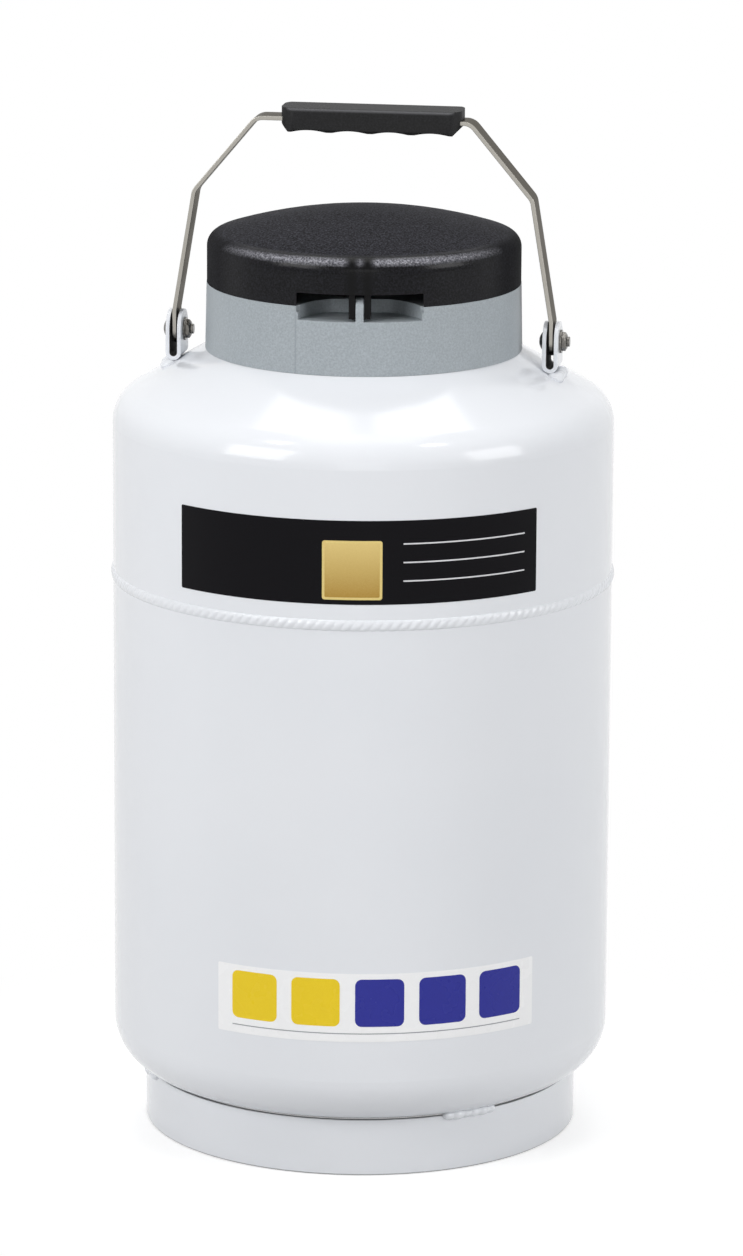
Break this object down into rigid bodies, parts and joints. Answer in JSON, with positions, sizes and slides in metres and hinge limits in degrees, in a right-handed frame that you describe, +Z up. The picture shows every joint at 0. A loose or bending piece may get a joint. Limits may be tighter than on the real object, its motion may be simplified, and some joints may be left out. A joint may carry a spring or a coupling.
{
  "type": "liquid nitrogen dewar",
  "caption": "Portable vacuum-insulated aluminium vessel for liquid nitrogen, with a narrow neck, a foam-plugged lid that takes a padlock, and a swinging bail handle.",
  "frame": {"origin": "on the floor, on the vertical axis through the neck", "axes": "+Z up along the neck, X along the bail's pivot axis, and the lid's hasp faces -Y, turned 7.5 degrees towards +X"},
  "size_m": [0.3026, 0.3026, 0.6202],
  "materials": {
    "white_coat": "gloss",
    "bare_aluminium": "satin",
    "foil_wrap": "satin",
    "glass_fibre": "satin",
    "grey_plastic": "satin",
    "black_plastic": "satin",
    "grip_plastic": "satin",
    "foam": "matte",
    "rubber": "matte",
    "stainless_bar": "satin",
    "stainless_fasteners": "satin"
  },
  "bodies": {
    "vessel": {"outer_shell_upper": "white_coat", "outer_shell_lower": "white_coat", "girth_weld": "white_coat", "base_ring": "white_coat", "base_ring_welds": "white_coat", "vacuum_port": "bare_aluminium", "vacuum_plug": "bare_aluminium", "vacuum_plug_seal": "rubber", "vacuum_port_cap": "black_plastic", "inner_vessel_upper": "bare_aluminium", "inner_vessel_lower": "bare_aluminium", "inner_vessel_weld": "bare_aluminium", "insulation_wrap": "foil_wrap", "adsorbent_cup": "bare_aluminium", "neck_tube": "glass_fibre", "neck_flange": "bare_aluminium", "neck_ring": "grey_plastic", "neck_ring_screws": "stainless_fasteners", "handle_bracket_left": "white_coat", "handle_bracket_right": "white_coat", "bracket_welds": "white_coat", "pivot_bolts": "stainless_fasteners", "pivot_washers": "stainless_fasteners", "pivot_nuts": "stainless_fasteners"},
    "lid": {"lid_cover": "black_plastic", "plug_disc": "black_plastic", "plug_screws": "stainless_fasteners", "neck_plug": "foam"},
    "bail": {"handle_bar": "stainless_bar", "handle_grip": "grip_plastic"}
  },
  "joints": [
    {"name": "bail_swing", "type": "hinge", "parent": "vessel", "child": "bail", "pos_m": [0, 0, 0.48318], "axis": [1, 0, 0], "range_deg": [-93, 93]},
    {"name": "lid_lift", "type": "slide", "parent": "vessel", "child": "lid", "axis": [0, 0, 1], "range_m": [0, 0.032]}
  ]
}
